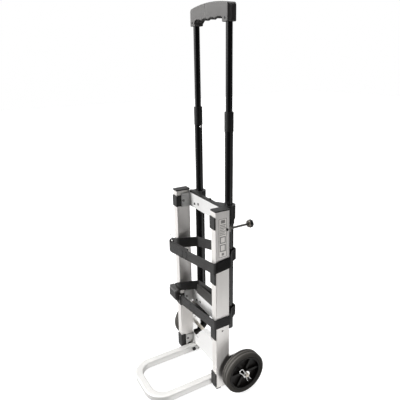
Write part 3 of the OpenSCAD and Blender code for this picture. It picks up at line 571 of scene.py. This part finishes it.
def strap_route(node, height, rises, reach):
    """The bends of a strap: across the front, round the right post and tubes, and back past the
    left tube. Each bend is a place on the frame and its distance from it in mm. rises are the
    bends' heights in mm; reach moves the free left end clear of the post."""
    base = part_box(node)[0].z + height / 2
    face, back, out = post_lo.y, post_hi.y, post_hi.x
    end_x, end_y = left_lo.x + reach[0], face + reach[1]
    bends = (
        (end_x, 8.5, end_y, -11),
        (out, -1.5, face, -5),
        (out, 1.8, face, -1.5),
        (out, 1.8, back, 2),
        (tube_hi.x, 6.8, back, 21),
        (tube_hi.x, -1.0, tube_hi.y, 2.4),
        (tube_lo.x, 8.7, tube_hi.y, 2.8),
        (left_tube_hi.x, -1.7, tube_lo.y, -1.9),
        (left_hi.x, 6.5, face, -2),
        (left_hi.x, 1, face, -6),
        (left_lo.x, 3.5, face, -5.5),
        (end_x, -4.5, end_y, -7.5),
        (end_x, -1.5, end_y, -11),
    )
    return [Vector((x + dx * MM, y + dy * MM, base + rise * MM))
            for (x, dx, y, dy), rise in zip(bends, rises)]


def bar_tack(bm, centre, along, height, width=5 * MM, rows=9):
    """A zigzag block of stitches lying on a tape."""
    thread, slip = 0.38 * MM, 0.1 * MM
    local = random.Random(11)
    for i in range(rows):
        t = (i / (rows - 1) - 0.5) * width
        foot = centre + along * t - Z_AXIS * (height / 2)
        head = centre + along * (t + width / rows * 0.5) + Z_AXIS * (height / 2)
        jitter = along * local.uniform(-slip, slip)
        capsule(bm, foot + jitter, head + jitter, thread)


def make_strap(tag, node, height, rises, reach, fold_to, fold_lift):
    """A strap, its end folded back behind the front run, and the stitches that hold the fold.
    fold_to is the share of the front run that the fold covers. Gives the strap's bends."""
    route = strap_route(node, height, rises, reach)
    bm = bmesh.new()
    tape(bm, filleted(route, STRAP_CORNER, True, 6, STRAP_STEP), height, STRAP_THICK, True, len(tag))
    new_piece(tag + "_webbing", bm, "webbing", "frame", node)
    start, end = route[0], route[1]
    behind = Vector((0, FOLD_BEHIND, fold_lift))
    fold = filleted([start + behind, start.lerp(end, fold_to) + behind], 1 * MM, False, 2, STRAP_STEP)
    bm = bmesh.new()
    tape(bm, fold, height * FOLD_SHARE, FOLD_THICK, False, 3)
    new_piece(tag + "_webbing_end", bm, "webbing", "frame")
    bm = bmesh.new()
    along = (end - start).normalized()
    front = Vector((0, -STITCH_LIFT, 0))
    for place in TACK_PLACES:
        bar_tack(bm, start.lerp(end, fold_to - place) + front, along, height * TACK_SHARE)
    stitches = new_piece(tag + "_stitches", bm, "webbing", "frame")
    stitches.data.materials[0] = finishes["stitch_thread"]
    return route


make_strap("upper", "upper_strap", upper_height, (6, 31, 33, 39, 41, 42, 42, 27, 27, 26, 19, 13, 8),
           (-4 * MM, -5 * MM), 0.42, 4.5 * MM)
lower_route = make_strap("lower", "lower_strap", lower_height,
                         (0, 22, 23, 24, 26, 27, 27, 39.5, 39, 36, 25, 17, 10),
                         (0.0, 0.0), 0.55, 2.6 * MM)


# ---------------------------------------------------------------- wire hook and clips

def make_hook():
    """An open ring of wire at the upper strap's left end, with a leg down behind the webbing."""
    low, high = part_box("upper_strap_hook")
    centre = Vector((low.x, (low.y + high.y) / 2, (low.z + high.z) / 2)) + Vector((10.5, 2.5, 11)) * MM
    leg_end = centre + Vector((8, -1, -15)) * MM
    ring_radius, wire_radius, ring_from, ring_to = 5.8 * MM, 1.1 * MM, -88, 170
    ring = arc(centre, ring_radius, ring_from, ring_to, 20, X_AXIS, Z_AXIS)
    bm = bmesh.new()
    wire(bm, [leg_end] + ring, wire_radius)
    new_piece("wire_hook", bm, "zinc", "frame", "upper_strap_hook")


def make_clips():
    """A spring clip through each end of the axle: a straight leg, a loop, and a sprung leg
    that bows over the axle."""
    low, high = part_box("axle")
    middle = (low + high) / 2
    clip_x = high.x - 2.5 * MM
    loop_radius, wire_radius, bend_radius = 5.6 * MM, 1.2 * MM, 3 * MM
    loop_from, loop_to, lean = 305, 60, math.radians(-54)
    leg = Vector((0, math.cos(lean), math.sin(lean)))
    off = Vector((0, math.sin(lean), -math.cos(lean)))
    # in mm, along the clip's leg and off it
    straight = (22, 0, -14)
    loop_at = -26
    sprung = ((-14, 7.6), (-5, 6.6), (0, 6.1), (5, 6.5), (11, 8.6), (17, 9.8))
    bm = bmesh.new()
    for side in (-1, 1):
        centre = Vector((side * clip_x, middle.y, middle.z))
        loop_centre = centre + leg * loop_at * MM + off * loop_radius * 0.6
        path = [centre + leg * u * MM for u in straight]
        path += arc(loop_centre, loop_radius, loop_from, loop_to, 16, leg, off)
        path += [centre + leg * u * MM + off * v * MM for u, v in sprung]
        wire(bm, filleted(path, bend_radius, False, 4), wire_radius)
    clips = new_piece("spring_clips", bm, "zinc", "frame", "axle_clips")
    # the zinc swapped for its near-white copy, a painted reflection
    clips.data.materials[0] = finishes["clip_wire"]


make_hook()
make_clips()


# ---------------------------------------------------------------- buckle and keeper

def rounded_block(bm, low, high, radius):
    """A block with every edge rounded: a bevelled box."""
    size = Matrix.Diagonal((*(high - low), 1))
    bmesh.ops.create_cube(bm, size=1.0, matrix=Matrix.Translation((low + high) / 2) @ size)
    bmesh.ops.bevel(bm, geom=list(bm.edges), offset=radius, segments=3, profile=0.6, affect="EDGES")


def add_blocks(bm, blocks):
    """Rounded blocks, each (low corner, high corner, edge radius), joined into one mesh."""
    for low, high, radius in blocks:
        one = bmesh.new()
        rounded_block(one, low, high, radius)
        temp = bpy.data.meshes.new("temp")
        one.to_mesh(temp)
        one.free()
        bm.from_mesh(temp)
        bpy.data.meshes.remove(temp)


def rounded_loop(centre, across, up, width, height, corner, steps=6):
    """Points of a rounded rectangle about centre."""
    out = []
    for sx, sz, first in ((1, 1, 0), (-1, 1, 90), (-1, -1, 180), (1, -1, 270)):
        middle = centre + across * sx * (width / 2 - corner) + up * sz * (height / 2 - corner)
        out += arc(middle, corner, first, first + 90, steps, across, up)
    return out


buckle_lo, buckle_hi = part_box("lower_strap_buckle")
base_lo = buckle_lo + Vector((1, -3, 1)) * MM
base_hi = buckle_hi + Vector((24, 6, -3)) * MM


def make_buckle():
    """A base with a wider lid over it, and a thumb bar on the front of the lid."""
    lid_lo = Vector((base_lo.x, base_lo.y, base_hi.z)) + Vector((-1, -1, -1)) * MM
    lid_hi = base_hi + Vector((1, 1, 4)) * MM
    bar_lo = lid_lo + Vector((4, -1.2, -3)) * MM
    bar_hi = Vector((lid_hi.x, lid_lo.y, lid_lo.z)) + Vector((-4, 3, 2)) * MM
    bm = bmesh.new()
    add_blocks(bm, ((base_lo, base_hi, 1.4 * MM), (lid_lo, lid_hi, 2.2 * MM), (bar_lo, bar_hi, 0.9 * MM)))
    new_piece("strap_buckle", bm, "buckle_plastic", "frame", "lower_strap_buckle")


def make_buckle_webbing():
    """The strap's end, carried round the left side and over the front of the buckle."""
    front = base_lo.y - 1.0 * MM
    level = (base_lo.z + base_hi.z) / 2 - 1 * MM
    width, thick = base_hi.z - base_lo.z - 4 * MM, 1.7 * MM
    corners = [Vector((base_lo.x - 0.6 * MM, base_hi.y - 2 * MM, level)),
               Vector((base_lo.x - 1.0 * MM, front, level)),
               Vector((base_hi.x - 2 * MM, front, level))]
    bm = bmesh.new()
    tape(bm, filleted(corners, 2 * MM, False, 5, 3 * MM), width, thick, False, 5)
    new_piece("buckle_webbing", bm, "webbing", "frame")


def make_keeper():
    """The band that holds the two layers of the lower strap together beside the buckle."""
    start, end = lower_route[0], lower_route[1]
    level = Vector((end.x - start.x, end.y - start.y, 0)).normalized()
    through = Vector((-level.y, level.x, 0))
    keeper_x = buckle_hi.x + 29 * MM
    centre = start.lerp(end, (keeper_x - start.x) / (end.x - start.x)) + through * 0.8 * MM
    deep, tall, corner = 8.4 * MM, lower_height + 4.4 * MM, 2.4 * MM
    wide, thick = 2.6 * MM, 0.8 * MM
    outline = ((-1, -0.7), (-0.9, -1), (0.9, -1), (1, -0.7), (1, 0.7), (0.9, 1), (-0.9, 1), (-1, 0.7))

    def section(i, point, along):
        outward = along.cross(level).normalized()
        return [point + level * x * wide + outward * y * thick for x, y in outline]

    bm = bmesh.new()
    sweep(bm, rounded_loop(centre, through, Z_AXIS, deep, tall, corner), section, True)
    new_piece("strap_keeper", bm, "buckle_plastic", "frame")


make_buckle()
make_buckle_webbing()
make_keeper()


# ---------------------------------------------------------------- grip

def bow(x, z, radius, first, last, steps):
    """Points along an arc in the XZ plane, between two angles in degrees."""
    return [(x + radius * math.cos(t), z + radius * math.sin(t))
            for t in (math.radians(first + (last - first) * k / steps) for k in range(steps + 1))]


def grip_outline():
    """The outline of the grip in the XZ plane: arched top, round ends, sockets and finger scallops."""
    low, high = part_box("grip_front")
    half = (high.x - low.x) / 2
    top, foot = high.z, low.z
    arch, end = 500 * MM, 8 * MM
    centre = top - arch
    end_x = half - end
    end_z = centre + math.sqrt((arch - end) ** 2 - end_x ** 2)
    turn = math.degrees(math.atan2(end_z - centre, end_x))
    # the top, with a small notch in it
    notch_x, notch_half, notch_dip = -15 * MM, 1.5 * MM, 1.6 * MM
    clear = notch_half * 1.2
    ridge = bow(0, centre, arch, turn, 180 - turn, 48)
    notch = [(notch_x + dx, centre + math.sqrt(arch ** 2 - (notch_x + dx) ** 2) - dip)
             for dx, dip in ((notch_half, 0.0), (0.0, notch_dip), (-notch_half, 0.0))]
    points = [p for p in ridge if p[0] > notch_x + clear] + notch
    points += [p for p in ridge if p[0] < notch_x - clear]
    points += bow(-end_x, end_z, end, 180 - turn, 180, 8)[1:]
    # the left socket: down its outside, across its foot and round to its inside
    corner = 2.2 * MM
    cut = corner * 0.3
    socket_half = 12.8 * MM
    inner = (tube_lo.x + tube_hi.x) / 2 - socket_half
    socket = [(-half, foot + (end_z - foot) * (1 - k / 6)) for k in range(1, 6)]
    socket += [(-half, foot + corner), (-half + cut, foot + cut), (-half + corner, foot)]
    socket += [(-half + (half - inner) * k / 4, foot) for k in range(1, 4)]
    socket += [(-inner - corner, foot), (-inner - cut, foot + cut), (-inner, foot + corner)]
    # the underside, with a scallop for each finger
    hand_depth = 36 * MM
    under = top - hand_depth
    scallops, depth, steps = 4, 3 * MM, 12
    pitch = 2 * inner / scallops
    radius = ((pitch / 2) ** 2 + depth ** 2) / (2 * depth)
    points += socket + [(-inner, foot + (under - foot) * k / 3) for k in range(1, 3)]
    for i in range(scallops):
        middle = -inner + (i + 0.5) * pitch
        for k in range(0 if i == 0 else 1, steps + 1):
            x = -pitch / 2 + pitch * k / steps
            points.append((middle + x, under + depth - radius + math.sqrt(radius ** 2 - x ** 2)))
    points += [(-x, z) for x, z in reversed(socket)]
    points += bow(end_x, end_z, end, 0, turn, 8)[:-1]
    return points


def inset_outline(points, distance):
    """The outline moved inwards along its smoothed normals."""
    count = len(points)
    out = []
    for i, (x, z) in enumerate(points):
        ax, az = points[i - 1]
        bx, bz = points[(i + 1) % count]
        dx, dz = bx - ax, bz - az
        size = math.hypot(dx, dz) or 1.0
        out.append((x - dz / size * distance, z + dx / size * distance))
    return out


def grip_shell(name, node, rear):
    """One half of the grip: a groove at the seam and a soft edge round its face."""
    low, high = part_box(node)
    seam, face = (low.y, high.y) if rear else (high.y, low.y)
    outwards = 1 if rear else -1
    groove, soft, steps = 0.35 * MM, 1.6 * MM, 5
    levels = [(seam, groove), (seam + outwards * groove, 0.0)]
    levels += [(face - outwards * soft * (1 - math.sin(a)), soft * (1 - math.cos(a)))
               for a in (math.pi / 2 * k / steps for k in range(steps + 1))]
    outline = grip_outline()
    bm = bmesh.new()
    skin(bm, [[bm.verts.new((x, y, z)) for x, z in inset_outline(outline, inset)] for y, inset in levels])
    bmesh.ops.triangulate(bm, faces=[f for f in bm.faces if len(f.verts) > 4])
    bmesh.ops.recalc_face_normals(bm, faces=bm.faces)
    new_piece(name, bm, "grip_plastic", "handle", node)


def screw_head(bm, centre, radius, sides=24):
    """A low domed head facing -Y with a recess. Its profile is in shares of the radius and in mm."""
    profile = ((1.0, 0.3), (1.0, -0.35), (0.8, -0.75), (0.5, -0.85), (0.42, -0.2))
    turns = [2 * math.pi * k / sides for k in range(sides)]
    rings = []
    for share, depth in profile:
        r = radius * share
        rings.append([bm.verts.new(centre + Vector((r * math.cos(t), depth * MM, r * math.sin(t))))
                      for t in turns])
    skin(bm, rings)
    bmesh.ops.recalc_face_normals(bm, faces=bm.faces)


def make_grip_screws():
    low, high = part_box("grip_screws")
    grip_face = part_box("grip_front")[0].y
    radius = (high.z - low.z) / 2
    bm = bmesh.new()
    for x in (low.x + radius, high.x - radius):
        screw_head(bm, Vector((x, grip_face, (low.z + high.z) / 2)), radius)
    new_piece("grip_screw_heads", bm, "dark_screw", "handle", "grip_screws")


grip_shell("grip_shell_front", "grip_front", False)
grip_shell("grip_shell_rear", "grip_rear", True)
make_grip_screws()


# ---------------------------------------------------------------- floor, light and camera

FLOOR_REACH, FLOOR_GAP = 8.0, 0.2 * MM
FLOOR_GLOW = 0.83

# name, direction towards the light, strength, width in degrees
SUNS = (
    ("key", (-0.32, -0.82, 0.50), 3.7, 28),
    ("top", (-0.2, 0.1, 1.0), 1.1, 40),
    ("rear_fill", (-0.25, 0.9, 0.35), 1.2, 50),
)

# soft boxes seen in reflections: direction, tightness and brightness
SOFT_BOXES = (
    ((-0.30, -0.90, 0.40), 14.0, 7.0),
    ((-0.83, -0.46, -0.32), 6.0, 1.15),
    ((0.66, 0.38, -0.62), 9.0, 1.75),
    ((-0.50, 0.55, 0.66), 4.0, 1.0),
    ((0.0, 0.0, -1.0), 2.0, 0.3),
)
DARKEST_REFLECTION = 0.02

LENS, SENSOR = 37.70, 36.0
AZIMUTH, ELEVATION, ROLL = (math.radians(v) for v in (60.69, 18.46, -1.11))
CAMERA_PLACE = (0.9055, -0.4605, 0.8649)


def make_floor():
    """A plain pale floor that glows, so that it lights nothing and shows no edge."""
    mesh = bpy.data.meshes.new("floor")
    corners = [(x * FLOOR_REACH, y * FLOOR_REACH, 0) for x, y in ((-1, -1), (1, -1), (1, 1), (-1, 1))]
    mesh.from_pydata(corners, [], [(0, 1, 2, 3)])
    floor = add_object("floor", mesh)
    floor.location.z = cad_bounds[0].z - FLOOR_GAP
    material, tree, shader = new_material("floor_paper")
    grain = noise(tree, add(tree, "TexCoord").outputs["Object"], 60.0)
    tree.links.new(span(tree, grain, 0.86, 0.9), shader.inputs["Roughness"])
    shader.inputs["Base Color"].default_value = (0.5, 0.5, 0.5, 1)
    shader.inputs["Specular IOR Level"].default_value = 0.0
    shader.inputs["Emission Color"].default_value = (1, 1, 1, 1)
    shader.inputs["Emission Strength"].default_value = FLOOR_GLOW
    mesh.materials.append(material)
    floor.visible_glossy = False
    floor.visible_diffuse = False


def aim_lamp(lamp, back):
    """A lamp turned so that its light comes from the direction back."""
    lamp.rotation_mode = "QUATERNION"
    lamp.rotation_quaternion = back.to_track_quat("Z", "Y")


def make_sun(name, direction, strength, spread):
    light = bpy.data.lights.new(name, "SUN")
    light.energy = strength
    light.angle = math.radians(spread)
    lamp = add_object(name, light)
    aim_lamp(lamp, Vector(direction))


def make_low_fill():
    """A soft spot from the side that lights the low, side-facing surfaces as the floor would."""
    light = bpy.data.lights.new("low_fill", "SPOT")
    light.energy = 24.0
    light.spot_size = math.radians(36)
    light.spot_blend = 1.0
    light.shadow_soft_size = 0.12
    lamp = add_object("low_fill", light)
    lamp.location = (0.95, -0.02, 0.34)
    target = Vector((0.05, -0.06, 0.05))
    aim_lamp(lamp, lamp.location - target)
    lamp.visible_glossy = False


def make_world():
    """White to the eye, dim for diffuse light, and soft boxes for reflections."""
    world = bpy.data.worlds.new("studio")
    bpy.context.scene.world = world
    world.use_nodes = True
    tree = world.node_tree
    way = add(tree, "TexCoord").outputs["Generated"]
    reflected = DARKEST_REFLECTION
    for direction, tight, bright in SOFT_BOXES:
        aim = tuple(Vector(direction).normalized())
        dot = add(tree, "VectorMath", {0: way, 1: aim}, operation="DOT_PRODUCT").outputs["Value"]
        lobe = maths(tree, "POWER", maths(tree, "MAXIMUM", dot, 0.0), tight)
        reflected = maths(tree, "ADD", reflected, maths(tree, "MULTIPLY", lobe, bright))
    height = add(tree, "SeparateXYZ", {0: way}).outputs[2]
    ambient = span(tree, height, 0.24, 0.012, (-0.85, 0.0))
    ray = add(tree, "LightPath")
    level = blend_colour(tree, ray.outputs["Is Glossy Ray"], ambient, reflected)
    seen = blend_colour(tree, ray.outputs["Is Camera Ray"], level, (1.0, 1.0, 1.0))
    tree.links.new(seen, tree.nodes["Background"].inputs["Color"])


def make_camera():
    """At the fitted height and angle, level but for a one degree roll."""
    data = bpy.data.cameras.new("camera")
    data.lens = LENS
    data.sensor_width = SENSOR
    data.clip_start, data.clip_end = 0.05, 60.0
    cam = add_object("camera", data)
    flat = math.cos(ELEVATION)
    back = Vector((math.sin(AZIMUTH) * flat, -math.cos(AZIMUTH) * flat, math.sin(ELEVATION)))
    right = Vector((math.cos(AZIMUTH), math.sin(AZIMUTH), 0))
    up = back.cross(right)
    rolled_right = right * math.cos(ROLL) + up * math.sin(ROLL)
    rolled_up = up * math.cos(ROLL) - right * math.sin(ROLL)
    turn = Matrix((rolled_right, rolled_up, back)).transposed().to_4x4()
    cam.matrix_world = Matrix.Translation(CAMERA_PLACE) @ turn
    bpy.context.scene.camera = cam


make_floor()
for sun in SUNS:
    make_sun(*sun)
make_low_fill()
make_world()
make_camera()
bpy.context.scene.view_settings.view_transform = "Standard"
